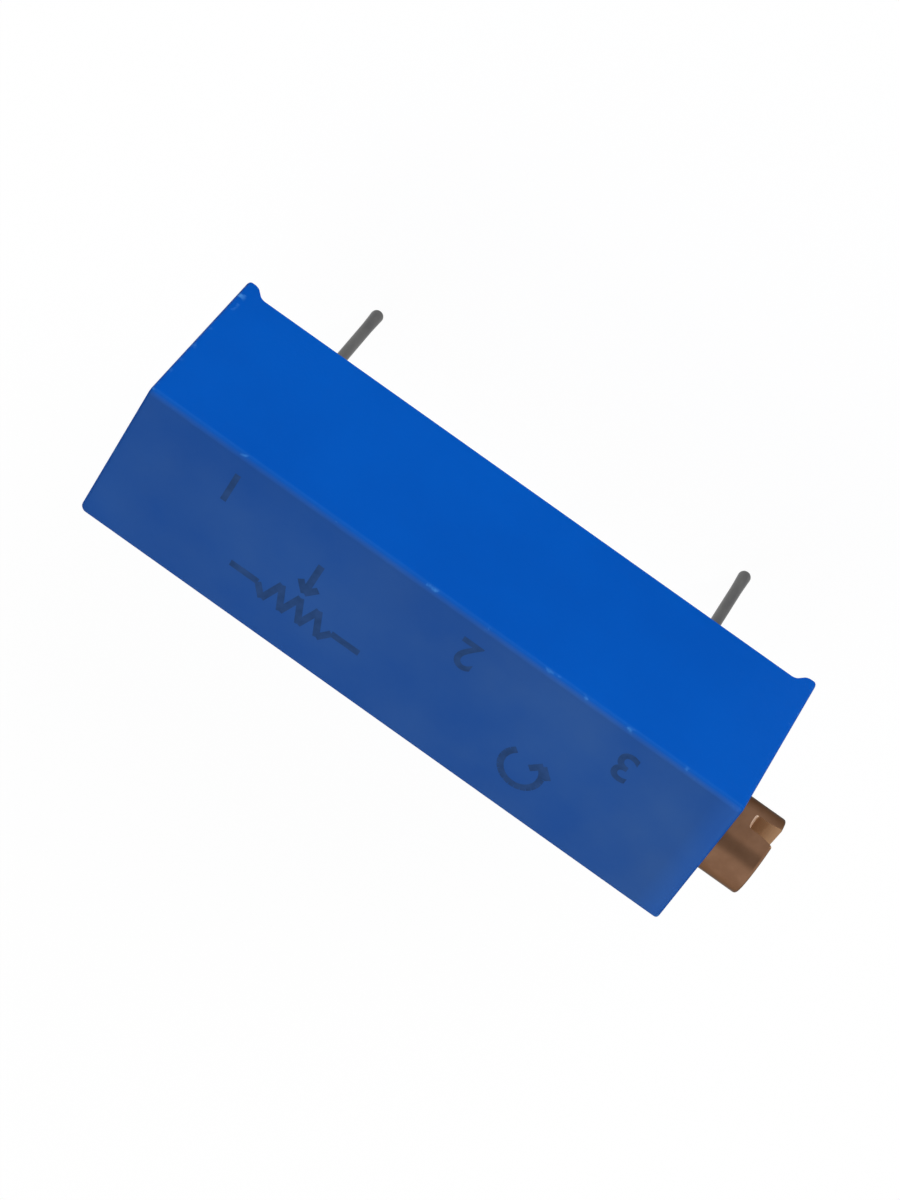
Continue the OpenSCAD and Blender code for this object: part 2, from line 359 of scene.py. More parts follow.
housing_mesh = case_outside()
print("outer block:", len(housing_mesh.faces), "faces,",
      round(housing_mesh.calc_volume(), 1), "mm3")

# %% [markdown]
# The cooling plastic draws the broad top face in by a hundredth of a millimetre, which also gives
# the printed marks a place below the highest point of the case.

# %% Sink the top
SINK = 0.01
SINK_MARGIN = 0.12
LEVEL = 0.9999
top_faces = [f for f in housing_mesh.faces if f.normal.z > LEVEL]
bmesh.ops.inset_region(
    housing_mesh, faces=top_faces, thickness=SINK_MARGIN, use_even_offset=True)
top_verts = {v for f in housing_mesh.faces if f in top_faces for v in f.verts}
bmesh.ops.translate(housing_mesh, vec=(0, 0, -SINK), verts=list(top_verts))
print("sunk top:", len(top_faces), "faces")

# %% [markdown]
# Six plain cutters take out the hollow: a pocket for the plate and the resin, the carriage's room,
# the grooves of the clip, the bore of the shank, the blind bearing of the journal, and the mark
# that the mould leaves. Each goes on past the surface that it opens, so that no thin skin is left.

# %% Hollow the case out
ROOF = 0.5
ROOM_END = 6.85
JOURNAL_R = 0.5
RUNNING_GAP = 0.03
END_PLAY = 0.05
SLIDE_GAP = 0.08
OVER = 1.0
GATE_R = 0.55
GATE_DEPTH = 0.04
GATE_Z = 3.2
seal_z = seal_low.z
skirt = Vector((seal_high.x, seal_high.y))
plate_top = plate_high.z
room_head = clip_high.x + END_PLAY
room_y = carriage_high.y + SLIDE_GAP
room_top = case_high.z - ROOF
head_wall = clip_low.x - END_PLAY
bore_r = head_r + RUNNING_GAP


def box_cutter(low, high):
    """A closed box, to subtract."""
    cutter = bmesh.new()
    add_box(cutter, low, high)
    return cutter


def rod_cutter(radius, x0, x1, z, steps=64):
    """A closed rod along the case at some height, to subtract."""
    cutter = bmesh.new()
    add_lathe(cutter, [(x0, 0), (x0, radius), (x1, radius), (x1, 0)],
              (0, 0, z), (1, 0, 0), steps)
    tidy(cutter)
    return cutter


hollows = (
    box_cutter((-skirt.x, -skirt.y, -OVER), (skirt.x, skirt.y, plate_top)),
    box_cutter((head_wall, -room_y, plate_top - OVER / 2), (ROOM_END, room_y, room_top)),
    box_cutter((head_wall, -skirt.y, plate_top - OVER / 4), (room_head, skirt.y, room_top)),
    rod_cutter(bore_r, case_low.x - OVER, head_wall + OVER / 8, axis_z),
    rod_cutter(JOURNAL_R + RUNNING_GAP, ROOM_END - OVER / 2, screw_high.x + END_PLAY, axis_z, 48),
    rod_cutter(GATE_R, case_high.x - GATE_DEPTH, case_high.x + OVER, GATE_Z, 48),
)
for hollow in hollows:
    housing_mesh = combine(housing_mesh, hollow, "DIFFERENCE")
print("hollow case:", len(housing_mesh.faces), "faces,",
      round(housing_mesh.calc_volume(), 1), "mm3")

# %% [markdown]
# No moulded edge is quite sharp. The rim of the hollow and the mouth of the bore are found by
# their place, and get a rounding of a few hundredths of a millimetre, which catches the light.

# %% Break the rim of the hollow and the mouth of the bore
LIP_R = 0.04


def at_rim(vert):
    """Whether a point lies on the mouth of the hollow."""
    return abs(vert.co.z - RAIL_H) < TOUCH and (
        abs(abs(vert.co.x) - skirt.x) < TOUCH or abs(abs(vert.co.y) - skirt.y) < TOUCH)


def at_mouth(vert):
    """Whether a point lies on the mouth of the bore."""
    return abs(vert.co.x - case_low.x) < TOUCH and abs(
        math.hypot(vert.co.y, vert.co.z - axis_z) - bore_r) < 5 * TOUCH


for test in (at_rim, at_mouth):
    lip = [
        e for e in housing_mesh.edges if is_corner(e, SQUARE_TURN) and all(map(test, e.verts))]
    round_edges(housing_mesh, lip, LIP_R, 2)
    print("rounded", len(lip), "edges of a mouth")

# %% [markdown]
# ### Moulded plastic
#
# The case is a glass-filled thermoset, moulded in a lightly blasted tool. It has a deep, even blue
# with hardly any gloss. A fine grain of a tenth of a millimetre breaks the reflections up, and
# flow clouds a few millimetres wide vary the colour by a shade. A painted grey sheen lies on the
# top, and a painted paler highlight on its last millimetre towards the screw. The soft edges carry
# a faint painted highlight, with painted glints in specks. Each point of the mesh stores how far
# it lies on such an edge, and the material reads that.

# %% Mark the edges that carry painted glints
GLINT_TURN = 0.96
GLINT_FADE = 0.2


def mark_points(piece, name, measure):
    """Stores a number from 0 to 1 on every point of a piece, which fades between the points."""
    attribute = piece.data.attributes.new(name, "FLOAT", "POINT")
    for vert, item in zip(piece.data.vertices, attribute.data):
        item.value = measure(vert.co / MM, vert.normal)
    print(piece.name, name, "on", sum(item.value > 0 for item in attribute.data), "points")


def edge_wear(place, normal):
    """1 along the middle of a rounded outer edge, down to 0 where the flat faces begin."""
    gaps = sorted((
        case_high.x - abs(place.x), case_high.y - abs(place.y), case_high.z - place.z))
    slant = (GLINT_TURN - max(abs(part) for part in normal)) / GLINT_FADE
    return max(0.0, min(1.0, slant)) if gaps[1] < SOFT_R else 0.0


case = finish_piece("case", housing_mesh)
mark_points(case, "glint_edge", edge_wear)


# %% Layers of the blue
HEAD_HIGHLIGHT_REACH = 0.8


def top_haze(tree, upward, along):
    """How much painted sheen lies on the top: in clouds, and a little more towards the screw."""
    clouds = remap(tree, grain(tree, 2.4, 4), 0.3, 0.7, 0.065, 0.105)
    haze = combine_values(tree, "MULTIPLY", clouds, upward)
    headward = remap(tree, along, case_high.x * MM, case_low.x * MM, 0.82, 1.12)
    return combine_values(tree, "MULTIPLY", haze, headward)


def head_glow(tree, upward, along):
    """How much painted highlight lies on the top in its last stretch before the screw."""
    near = remap(tree, along, (case_low.x + HEAD_HIGHLIGHT_REACH) * MM, case_low.x * MM, 0.0, 0.3)
    return combine_values(tree, "MULTIPLY", near, upward)


def rubbed_edges(tree, slope):
    """Painted glints in specks on the rounded edges, and a faint painted highlight where the
    surface turns up to the top.
    """
    glint_at = add_node(tree, "ShaderNodeAttribute", attribute_name="glint_edge")
    specks = combine_values(
        tree, "MULTIPLY", remap(tree, grain(tree, 0.5, 3), 0.62, 0.7, 0.0, 0.65),
        glint_at.outputs["Fac"])
    rub = combine_values(
        tree, "MULTIPLY", remap(tree, slope, 0.0, 0.4, 0.0, 0.06),
        remap(tree, slope, 0.5, 0.95, 1.0, 0.0))
    return combine_values(tree, "ADD", specks, rub)


# %% Blue moulded case
def blue_plastic():
    """Thermoset from a finely blasted tool: deep blue, matt, with a painted sheen and painted
    highlights.
    """
    material, tree, shader = start_finish(
        "moulded_blue_thermoset", "#0055BC", Roughness=0.5, Specular_IOR_Level=0.02)
    body = blend_colours(tree, shader, grain(tree, 5.0, 3), "#0055BC", "#0059C2")
    place = add_node(tree, "ShaderNodeTexCoord")
    slope = add_node(
        tree, "ShaderNodeSeparateXYZ", {0: place.outputs["Normal"]}).outputs["Z"]
    along = add_node(
        tree, "ShaderNodeSeparateXYZ", {0: place.outputs["Object"]}).outputs["X"]
    upward = remap(tree, slope, 0.6, 1.0)
    # Painted sheen: a pale grey laid over the top's blue, in place of a reflection on it.
    sheened = mix_in(tree, top_haze(tree, upward, along), body, "#B1D0A2")
    # Painted highlight: a paler blue on the top near the screw.
    head_lit = mix_in(tree, head_glow(tree, upward, along), sheened, "#3281FB")
    # Painted glints and a painted highlight line: a pale blue on the rounded edges.
    worn = mix_in(tree, rubbed_edges(tree, slope), head_lit, "#58A6EC")
    tree.links.new(worn, shader.inputs["Base Color"])
    add_relief(tree, shader, grain(tree, 0.12, 4), 0.004)
    return material


stand_for(case, "housing", blue_plastic())

# %% [markdown]
# ## The sealing resin
#
# The back is potted with epoxy that is poured in liquid. It creeps a little up the walls and up
# each pin, and sinks between them as it cures. A fine grid gets that relief from the distance to
# the nearest wall or pin, and is then closed above and bored for the pins.

# %% Read the pins
PIN_NODES = ("terminal_pin_1", "terminal_pin_2", "terminal_pin_3")
pin_boxes = [box_mm(node) for node in PIN_NODES]
pin_centres = [(low + high) / 2 for low, high in pin_boxes]
PIN_R = 0.19
COLLAR_R = 0.4
COLLAR_SUNK = 0.07
COLLAR_Z = seal_z + COLLAR_SUNK
PIN_TOP = pin_boxes[0][1].z
PIN_TIP = pin_boxes[0][0].z
print("pins at", [tuple(round(v, 2) for v in centre.xy) for centre in pin_centres])


# %% Pour the resin
CREEP = 0.07
CREEP_REACH = 0.12
SAG = 0.03
SAG_REACH = 0.8


def resin_level(x, y):
    """The lower surface of the resin at a place: it creeps down walls and pins."""
    wall = min(skirt.x - abs(x), skirt.y - abs(y))
    pin = min(math.hypot(x - c.x, y - c.y) for c in pin_centres) - PIN_R
    near = max(0.0, min(wall, pin))
    return seal_z - CREEP * math.exp(-near / CREEP_REACH) + SAG * min(1.0, near / SAG_REACH)


def resin_pour():
    """The closed body of resin, with a hole for each pin and its collar."""
    bm = bmesh.new()
    bmesh.ops.create_grid(
        bm, x_segments=200, y_segments=46, size=0.5,
        matrix=Matrix.Diagonal((2 * skirt.x, 2 * skirt.y, 1, 1)))
    lower = bm.verts[:]
    made = bmesh.ops.extrude_face_region(bm, geom=bm.faces[:], use_keep_orig=True)["geom"]
    for vert in (item for item in made if isinstance(item, bmesh.types.BMVert)):
        vert.co.z = plate_low.z
    for vert in lower:
        vert.co.z = resin_level(vert.co.x, vert.co.y)
    tidy(bm)
    return bm


resin_mesh = resin_pour()
for centre in pin_centres:
    bore = bmesh.new()
    add_lathe(bore, [(-OVER, 0), (-OVER, PIN_R), (COLLAR_Z, PIN_R), (COLLAR_Z, COLLAR_R),
                     (2 * OVER, COLLAR_R), (2 * OVER, 0)], (centre.x, centre.y, 0), (0, 0, 1), 32)
    tidy(bore)
    resin_mesh = combine(resin_mesh, bore, "DIFFERENCE")
print("resin:", len(resin_mesh.faces), "faces")

# %% [markdown]
# ### Cured resin
#
# Potting epoxy sets with a glossy skin that no mould has touched. It is darker than the case. A
# low roughness and a shallow, wide relief give the soft, broken reflections of a poured surface.

# %% Cured epoxy
def cured_epoxy():
    """Poured and cured: glossy, with faint clouds and the odd pore."""
    material, tree, shader = start_finish(
        "poured_blue_epoxy", "#1F3464", Roughness=0.28, Specular_IOR_Level=0.4)
    blend_colours(tree, shader, grain(tree, 1.4, 4), "#1B2F5C", "#243B70")
    add_relief(tree, shader, grain(tree, 0.5, 2), 0.01)
    return material


resin = finish_piece("resin", resin_mesh, 60)
stand_for(resin, "base_seal", cured_epoxy())

# %% [markdown]
# ## The terminal pins
#
# Each pin is a length of copper wire, dipped in tin: straight, round and slightly thicker at its
# rounded tip, where the tin gathers. An outline is spun around the pin's axis. The collar in the
# resin keeps it from being pushed through the plate.

# %% Spin the pins
TIN_T = 0.02
SKIN = 0.001
PIN_EDGE = 0.03


def pin_outline():
    """Heights and radii of a pin, from its tip up to its end above the plate."""
    tip = [
        (PIN_TIP + PIN_R * (1 - math.cos(math.radians(a))), PIN_R * math.sin(math.radians(a)))
        for a in range(0, 91, 10)
    ]
    waist = PIN_R - TIN_T
    return tip + [
        (PIN_TIP + 0.4, PIN_R - 0.4 * TIN_T), (PIN_TIP + 0.9, waist), (seal_z - 0.4, waist),
        (seal_z - 0.1, PIN_R - SKIN), (COLLAR_Z, PIN_R - SKIN), (COLLAR_Z, COLLAR_R - PIN_EDGE),
        (COLLAR_Z + PIN_EDGE, COLLAR_R - SKIN), (plate_low.z, COLLAR_R - SKIN),
        (plate_low.z, PIN_R), (PIN_TOP - PIN_EDGE, PIN_R), (PIN_TOP, PIN_R - PIN_EDGE),
        (PIN_TOP, 0),
    ]


def tinned_copper():
    """Hot-dipped tin gone dull: a grey metal, streaked along the wire, with small lumps."""
    material, tree, shader = start_finish(
        "hot_dipped_tin", "#606060", Metallic=1.0, Roughness=0.42)
    blend_colours(tree, shader, grain(tree, 0.35, 4, (1, 1, 0.3)), "#5A5A5B", "#686867")
    add_relief(tree, shader, grain(tree, 0.18, 3, (1, 1, 0.4)), 0.006)
    return material


tin = tinned_copper()
for node, centre in zip(PIN_NODES, pin_centres):
    bm = bmesh.new()
    add_lathe(bm, pin_outline(), (centre.x, centre.y, 0), (0, 0, 1), 32)
    tidy(bm)
    stand_for(finish_piece(node.replace("terminal_", "wire_"), bm), node, tin)

# %% [markdown]
# ## The solder
#
# Solder wets both the pin and the film, so its surface is hollow between them. The outline is a
# quarter of an ellipse, curved inwards.

# %% Spin the solder
SOLDER_R = 0.42


def solder_outline(z0):
    """Heights and radii of a solder fillet, closed along the pin."""
    hollow = [math.radians(a) for a in range(0, 91, 15)]
    rise, run = PIN_TOP - z0, SOLDER_R - PIN_R
    curve = [(z0 + rise * (1 - math.sin(a)), SOLDER_R - run * math.cos(a)) for a in hollow]
    return [(z0, PIN_R)] + curve[::-1] + [(z0, PIN_R)]


def soft_solder():
    """Tin and lead or copper, melted and frozen: bright with a satin, slightly frosted skin."""
    material, tree, shader = start_finish(
        "reflowed_solder", "#A8A9AB", Metallic=1.0, Roughness=0.3)
    blend_colours(tree, shader, grain(tree, 0.2, 3), "#9C9DA0", "#B5B6B8")
    add_relief(tree, shader, grain(tree, 0.1, 4), 0.003)
    return material


solder = soft_solder()
for number, centre in enumerate(pin_centres, 1):
    node = f"solder_joint_{number}"
    bm = bmesh.new()
    add_lathe(bm, solder_outline(box_mm(node)[0].z), (centre.x, centre.y, 0), (0, 0, 1), 32)
    tidy(bm)
    stand_for(finish_piece(node.replace("joint", "fillet"), bm), node, solder)

# %% [markdown]
# ## The lead screw
#
# The screw is turned from brass bar: a plain shank with a slotted face, a groove for the rubber
# ring, a neck for the clip, a rolled thread and a thin journal. The plain parts are one spun
# outline. The thread is one tooth swept along a helix, with a pitch of 0.6 mm, and it turns the
# right-handed way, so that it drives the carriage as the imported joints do.

# %% Thread helper
PITCH = 0.6
THREAD_STEPS = 28


def threaded_rod(crest_r, root_r, crest_w, root_w, x0, x1):
    """A closed rod with a right-handed helical thread between two places on the screw's axis."""
    flank = (PITCH - crest_w - root_w) / 2
    tooth = [
        (0, crest_r), (crest_w / 2, crest_r), (crest_w / 2 + flank, root_r),
        (crest_w / 2 + flank + root_w, root_r), (PITCH - crest_w / 2, crest_r), (PITCH, crest_r)]
    turns = math.ceil((x1 - x0) / PITCH) + 3
    first = math.floor(x0 / PITCH) * PITCH - PITCH
    bm = bmesh.new()
    verts = [bm.verts.new((first + along, 0, axis_z - radius)) for along, radius in tooth]
    edges = [bm.edges.new(pair) for pair in zip(verts, verts[1:])]
    bmesh.ops.spin(
        bm, geom=verts + edges, cent=(0, 0, axis_z), axis=(1, 0, 0), angle=2 * math.pi * turns,
        dvec=(PITCH / THREAD_STEPS, 0, 0), steps=THREAD_STEPS * turns)
    bmesh.ops.remove_doubles(bm, verts=bm.verts, dist=TOUCH)
    for x, side in ((x0, -1), (x1, 1)):
        bmesh.ops.bisect_plane(
            bm, geom=whole(bm), plane_co=(x, 0, 0), plane_no=(side, 0, 0), clear_outer=True)
        rim = [
            e for e in bm.edges
            if e.is_boundary and all(abs(v.co.x - x) < TOUCH for v in e.verts)]
        bmesh.ops.edgeloop_fill(bm, edges=rim)
    tidy(bm)
    return bm


# %% Turn the screw
ring_mid = (ring_low.x + ring_high.x) / 2
GROOVE_R = 0.76
GROOVE_HALF = 0.28
NECK_R = 0.7
THREAD_R = 0.86
ROOT_R = 0.64
EDGE_BREAK = 0.09
GROOVE_BREAK = 0.03
NECK_BREAK = 0.05
NECK_OVERLAP = 0.02
SLOT_DEPTH = 0.76
RING_STEP = 0.12
neck_x0 = clip_low.x - END_PLAY
neck_x1 = clip_high.x + END_PLAY
thread_end = ROOM_END - END_PLAY


def rounded_step(x, r, away, edge, steps=4):
    """The points of a small rounding at an outer corner, in the order of the outline."""
    turns = [math.pi / 2 * k / steps for k in range(steps + 1)]
    points = [(x + away * edge * (1 - math.cos(a)), r - edge * (1 - math.sin(a))) for a in turns]
    return points if away > 0 else points[::-1]


def turned_outline():
    """Places and radii of the plain parts of the screw, from its slotted face to its neck."""
    face = screw_low.x
    neck_end = neck_x1 + NECK_OVERLAP
    return [
        (face, 0), *rounded_step(face, head_r, 1, EDGE_BREAK),
        *((face + SLOT_DEPTH + RING_STEP * k, head_r) for k in range(1, 5)),
        *rounded_step(ring_mid - GROOVE_HALF, head_r, -1, GROOVE_BREAK),
        (ring_mid - GROOVE_HALF, GROOVE_R), (ring_mid + GROOVE_HALF, GROOVE_R),
        *rounded_step(ring_mid + GROOVE_HALF, head_r, 1, GROOVE_BREAK),
        *rounded_step(neck_x0, head_r, -1, NECK_BREAK),
        (neck_x0, NECK_R), (neck_end, NECK_R), (neck_end, 0),
    ]


screw_mesh = bmesh.new()
add_lathe(screw_mesh, turned_outline(), (0, 0, axis_z), (1, 0, 0), 96)
tidy(screw_mesh)
print("turned head:", round(screw_mesh.calc_volume(), 2), "mm3")

# %% [markdown]
# A saw cuts the slot across the head, and runs out a little deeper at both ends. Years of
# screwdrivers flare its mouth. So there are two cutters: the saw's path, with a rounded floor, and
# a wedge. Both are drawn flat, extruded, and turned to the angle at which the slot rests.

# %% Draw the two cutters of the slot
SLOT_W = 0.5
SLOT_ANGLE = 164
FLOOR_R = 0.06
RUNOUT = 0.07
RUNOUT_SLOPE = 1.0
RIM = 0.07
RIM_DEPTH = 0.4


def extruded(corners, push):
    """A closed block: the flat face between some corners, pushed along by a distance."""
    cutter = bmesh.new()
    side = cutter.faces.new([cutter.verts.new(corner) for corner in corners])
    made = bmesh.ops.extrude_face_region(cutter, geom=[side], use_keep_orig=True)["geom"]
    bmesh.ops.translate(
        cutter, vec=push, verts=[v for v in made if isinstance(v, bmesh.types.BMVert)])
    return cutter


def slot_cutter():
    """The path of the slotting saw, which runs out a little deeper through the rounded side."""
    out = 2 * head_r
    runout = SLOT_DEPTH + (out - head_r + RUNOUT) * RUNOUT_SLOPE
    outline = [(-OVER, -out), (runout, -out), (SLOT_DEPTH, RUNOUT - head_r),
               (SLOT_DEPTH, head_r - RUNOUT), (runout, out), (-OVER, out)]
    cutter = extruded([(x, y, -SLOT_W / 2) for x, y in outline], (0, 0, SLOT_W))
    floor = [e for e in cutter.edges if all(v.co.x > SLOT_DEPTH - TOUCH for v in e.verts)
             and abs(e.verts[0].co.z - e.verts[1].co.z) < TOUCH]
    round_edges(cutter, floor, FLOOR_R, 3)
    tidy(cutter)
    return cutter


def flare_cutter():
    """A wedge, for the mouth of the slot, which screwdrivers have worn a little wider."""
    wide = SLOT_W / 2 + RIM * (1 + OVER / RIM_DEPTH)
    outline = [(-OVER, -wide), (RIM_DEPTH, -SLOT_W / 2), (RIM_DEPTH, SLOT_W / 2), (-OVER, wide)]
    cutter = extruded([(x, -2 * head_r, z) for x, z in outline], (0, 4 * head_r, 0))
    tidy(cutter)
    return cutter


# %% Cut the screwdriver slot
for cutter in (slot_cutter(), flare_cutter()):
    bmesh.ops.rotate(cutter, cent=(0, 0, 0), verts=cutter.verts,
                     matrix=Matrix.Rotation(math.radians(SLOT_ANGLE), 3, "X"))
    bmesh.ops.translate(cutter, verts=cutter.verts, vec=(screw_low.x, 0, axis_z))
    screw_mesh = combine(screw_mesh, cutter, "DIFFERENCE")
print("slotted head:", round(screw_mesh.calc_volume(), 2), "mm3")

# %% Add the thread and the journal
THREAD_LAND = 0.14
JOURNAL_ROOT = 0.2
JOURNAL_BREAK = 0.06
thread_mesh = threaded_rod(THREAD_R, ROOT_R, THREAD_LAND, THREAD_LAND, neck_x1, thread_end)
print("thread:", len(thread_mesh.faces), "faces,", round(thread_mesh.calc_volume(), 2), "mm3")
journal_mesh = bmesh.new()
journal_outline = [
    (thread_end - JOURNAL_ROOT, 0), (thread_end - JOURNAL_ROOT, JOURNAL_R),
    *rounded_step(screw_high.x, JOURNAL_R, -1, JOURNAL_BREAK), (screw_high.x, 0),
]
add_lathe(journal_mesh, journal_outline, (0, 0, axis_z), (1, 0, 0), 48)
tidy(journal_mesh)
screw_mesh = combine(screw_mesh, thread_mesh, "UNION")
screw_mesh = combine(screw_mesh, journal_mesh, "UNION")
print("screw:", len(screw_mesh.faces), "faces,", round(screw_mesh.calc_volume(), 2), "mm3")

# %% [markdown]
# ### Turned brass
#
# Free-cutting brass, turned on a lathe and left to tarnish: brown on the turned faces. The slot is
# painted paler, as painted light against the shade in it, and the run-out at each end of the slot
# carries a painted highlight. Each face of the mesh stores whether it lies in the slot, so that the
# material can tell the two apart. Fine rings around the axis come from the cutting tool.

# %% Mark the slot
ON_FACE = 0.01
ON_SIDE = 0.004


def mark_faces(piece, name, measure):
    """Stores a number from 0 to 1 on every face of a piece, for its material to read."""
    attribute = piece.data.attributes.new(name, "FLOAT", "FACE")
    for face, item in zip(piece.data.polygons, attribute.data):
        item.value = measure(face.center / MM)
    print(piece.name, name, "on", sum(item.value > 0 for item in attribute.data), "faces")


def from_axis(place):
    """How far a place lies from the screw's axis."""
    return math.hypot(place.y, place.z - axis_z)


def in_slot(place, spare=0.03):
    """Whether a place lies within the screwdriver slot or on its rim."""
    angle = math.radians(SLOT_ANGLE)
    across = (place.z - axis_z) * math.cos(angle) - place.y * math.sin(angle)
    depth = place.x - screw_low.x
    mouth = RIM * max(0, 1 - depth / RIM_DEPTH)
    return abs(across) < SLOT_W / 2 + mouth + spare and depth < SLOT_DEPTH + spare


def slot_wall(place):
    """1 on the walls and floor of the slot, and 0 on the turned surfaces."""
    return float(in_slot(place) and place.x > screw_low.x + ON_FACE
                 and from_axis(place) < head_r - ON_FACE)


def slot_end(place):
    """1 on the small slope where the saw ran out at each end of the slot."""
    return float(in_slot(place, RUNOUT) and place.x > screw_low.x + SLOT_DEPTH
                 and head_r - RUNOUT < from_axis(place) < head_r - ON_SIDE)


# %% Turned brass
def turned_brass():
    """Machined, then left to tarnish: brown, with rings from the tool, and painted light in the
    slot.
    """
    material, tree, shader = start_finish(
        "turned_tarnished_brass", "#84624A", Metallic=1.0, Roughness=0.3)
    shader.inputs["Specular Tint"].default_value = srgb("#A8A8A8")
    brown = blend_colours(tree, shader, grain(tree, 0.5, 4), "#7E5D47", "#896750")
    slot_at = add_node(tree, "ShaderNodeAttribute", attribute_name="in_slot").outputs["Fac"]
    end_highlight_at = add_node(tree, "ShaderNodeAttribute", attribute_name="slot_end").outputs["Fac"]
    # Painted light: the slot is coloured paler to lift the shade inside it.
    slot_lit = mix_in(tree, slot_at, brown, "#BE9A78")
    # Painted highlight: a pale brass on the run-out at each end of the slot.
    tree.links.new(mix_in(tree, end_highlight_at, slot_lit, "#F4DCC8"), shader.inputs["Base Color"])
    tree.links.new(remap(tree, slot_at, 0.0, 1.0, 0.3, 0.6), shader.inputs["Roughness"])
    add_relief(tree, shader, grain(tree, 0.05, 2, (1, 0.04, 0.04)), 0.002)
    return material


screw = finish_piece("brass_screw", screw_mesh)
mark_faces(screw, "in_slot", slot_wall)
mark_faces(screw, "slot_end", slot_end)
stand_for(screw, "lead_screw", turned_brass())

# %% [markdown]
# ## The rubber ring
#
# An O-ring around the shank keeps washing fluid out. It is a moulded torus, spun from a circle.
# Black nitrile rubber is matt, and blooms to a slightly greyer black in patches as it ages.

# %% Spin the rubber ring
RING_POINTS = 24
ring_section = (ring_high.x - ring_low.x) / 2
ring_centre_r = (ring_high.y - ring_low.y) / 2 - ring_section
ring_mesh = bmesh.new()
ring_turns = [2 * math.pi * k / RING_POINTS for k in range(RING_POINTS + 1)]
circle = [(ring_mid + ring_section * math.cos(a), ring_centre_r + ring_section * math.sin(a))
          for a in ring_turns]
add_lathe(ring_mesh, circle, (0, 0, axis_z), (1, 0, 0), 72)
tidy(ring_mesh)


def moulded_rubber():
    """Nitrile rubber from a polished mould: black, with a bloom that greys it in patches."""
    material, tree, shader = start_finish(
        "moulded_nitrile_rubber", "#171718", Roughness=0.55, Specular_IOR_Level=0.35)
    blend_colours(tree, shader, grain(tree, 0.4, 3), "#141415", "#1F1F20")
    add_relief(tree, shader, grain(tree, 0.08, 2), 0.002)
    return material


stand_for(finish_piece("rubber_ring", ring_mesh), "shaft_o_ring", moulded_rubber())

# %% [markdown]
# ## The carriage
#
# The carriage is a saddle of nylon that hugs the lower half of the screw. A tap, which is the same
# thread with a running clearance, leaves the teeth of its half nut. It moves with the screw as the
# thread does, so the two stay in step at every turn.

# %% Cut the carriage
CUT_R = THREAD_R + RUNNING_GAP
TAP_DEPTH = 0.22
TAP_CREST = 0.18
TAP_ROOT = 0.10
CORNER_R = 0.12
LEAF_T = 0.08
carriage_z = carriage_low.z + 2 * LEAF_T
carriage_mesh = bmesh.new()
add_box(carriage_mesh, (carriage_low.x, carriage_low.y, carriage_z), carriage_high)
upright = [e for e in carriage_mesh.edges if is_corner(e)
           and (all(v.co.z > carriage_high.z - TOUCH for v in e.verts)
                or abs(e.verts[0].co.z - e.verts[1].co.z) > TOUCH)]
round_edges(carriage_mesh, upright, CORNER_R, 3)
channel = box_cutter((-3 * OVER, -CUT_R, axis_z), (3 * OVER, CUT_R, carriage_high.z + OVER))
tap = threaded_rod(CUT_R, CUT_R - TAP_DEPTH, TAP_CREST, TAP_ROOT,
                   carriage_low.x - OVER / 2, carriage_high.x + OVER / 2)
carriage_mesh = combine(carriage_mesh, tap, "DIFFERENCE")
carriage_mesh = combine(carriage_mesh, channel, "DIFFERENCE")
print("carriage:", len(carriage_mesh.faces), "faces,",
      round(carriage_mesh.calc_volume(), 2), "mm3")

# %% [markdown]
# Two round stakes of the same nylon pass through the wiper's leaf. Their ends are melted down to
# domed heads, which hold it. They are spun, and joined to the carriage.

# %% Stake the wiper to the carriage
STAKE_R = 0.2
STAKE_ROOT = 0.1
STAKE_SPAN = 1.3
wiper_low, wiper_high = box_mm("wiper_contact")
wiper_y = (wiper_low.y + wiper_high.y) / 2
stake_outline = [
    (carriage_z + STAKE_ROOT, 0), (carriage_z + STAKE_ROOT, STAKE_R),
    (carriage_z - LEAF_T, STAKE_R),
    (carriage_z - LEAF_T, STAKE_R + LEAF_T), (carriage_z - 1.4 * LEAF_T, STAKE_R + LEAF_T),
    (carriage_z - 1.8 * LEAF_T, STAKE_R), (carriage_z - 2 * LEAF_T, 0),
]
for side in (-1, 1):
    stake = bmesh.new()
    add_lathe(stake, stake_outline, (side * STAKE_SPAN / 2, wiper_y, 0), (0, 0, 1), 24)
    tidy(stake)
    carriage_mesh = combine(carriage_mesh, stake, "UNION")


def moulded_nylon():
    """Natural nylon: a creamy, waxy plastic that lets a little light in."""
    material, tree, shader = start_finish(
        "moulded_natural_nylon", "#DDD8C6", Roughness=0.45, Subsurface_Weight=0.15,
        Subsurface_Scale=0.0004)
    blend_colours(tree, shader, grain(tree, 1.2, 3), "#D8D2BF", "#E3DECD")
    add_relief(tree, shader, grain(tree, 0.1, 3), 0.003)
    return material


stand_for(finish_piece("nylon_carriage", carriage_mesh), "wiper_carriage", moulded_nylon())

# %% [markdown]
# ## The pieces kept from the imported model
#
# The ceramic plate, the printed films, the spring clip and the wiper already have their real
# shape, flat and square as they are cut or stamped. They only need their finishes.

# %% Finish the ceramic plate and its films
def fired_alumina():
    """Pressed and fired alumina: matt, off-white, with fine dark specks from the kiln."""
    material, tree, shader = start_finish(
        "fired_alumina", "#E6E2D8", Roughness=0.6, IOR=1.76, Specular_IOR_Level=0.5)
    blend_colours(tree, shader, grain(tree, 0.25, 5), "#E9E6DD", "#D2CCBF", 0.55, 0.8)
    add_relief(tree, shader, grain(tree, 0.05, 3), 0.002)
    return material


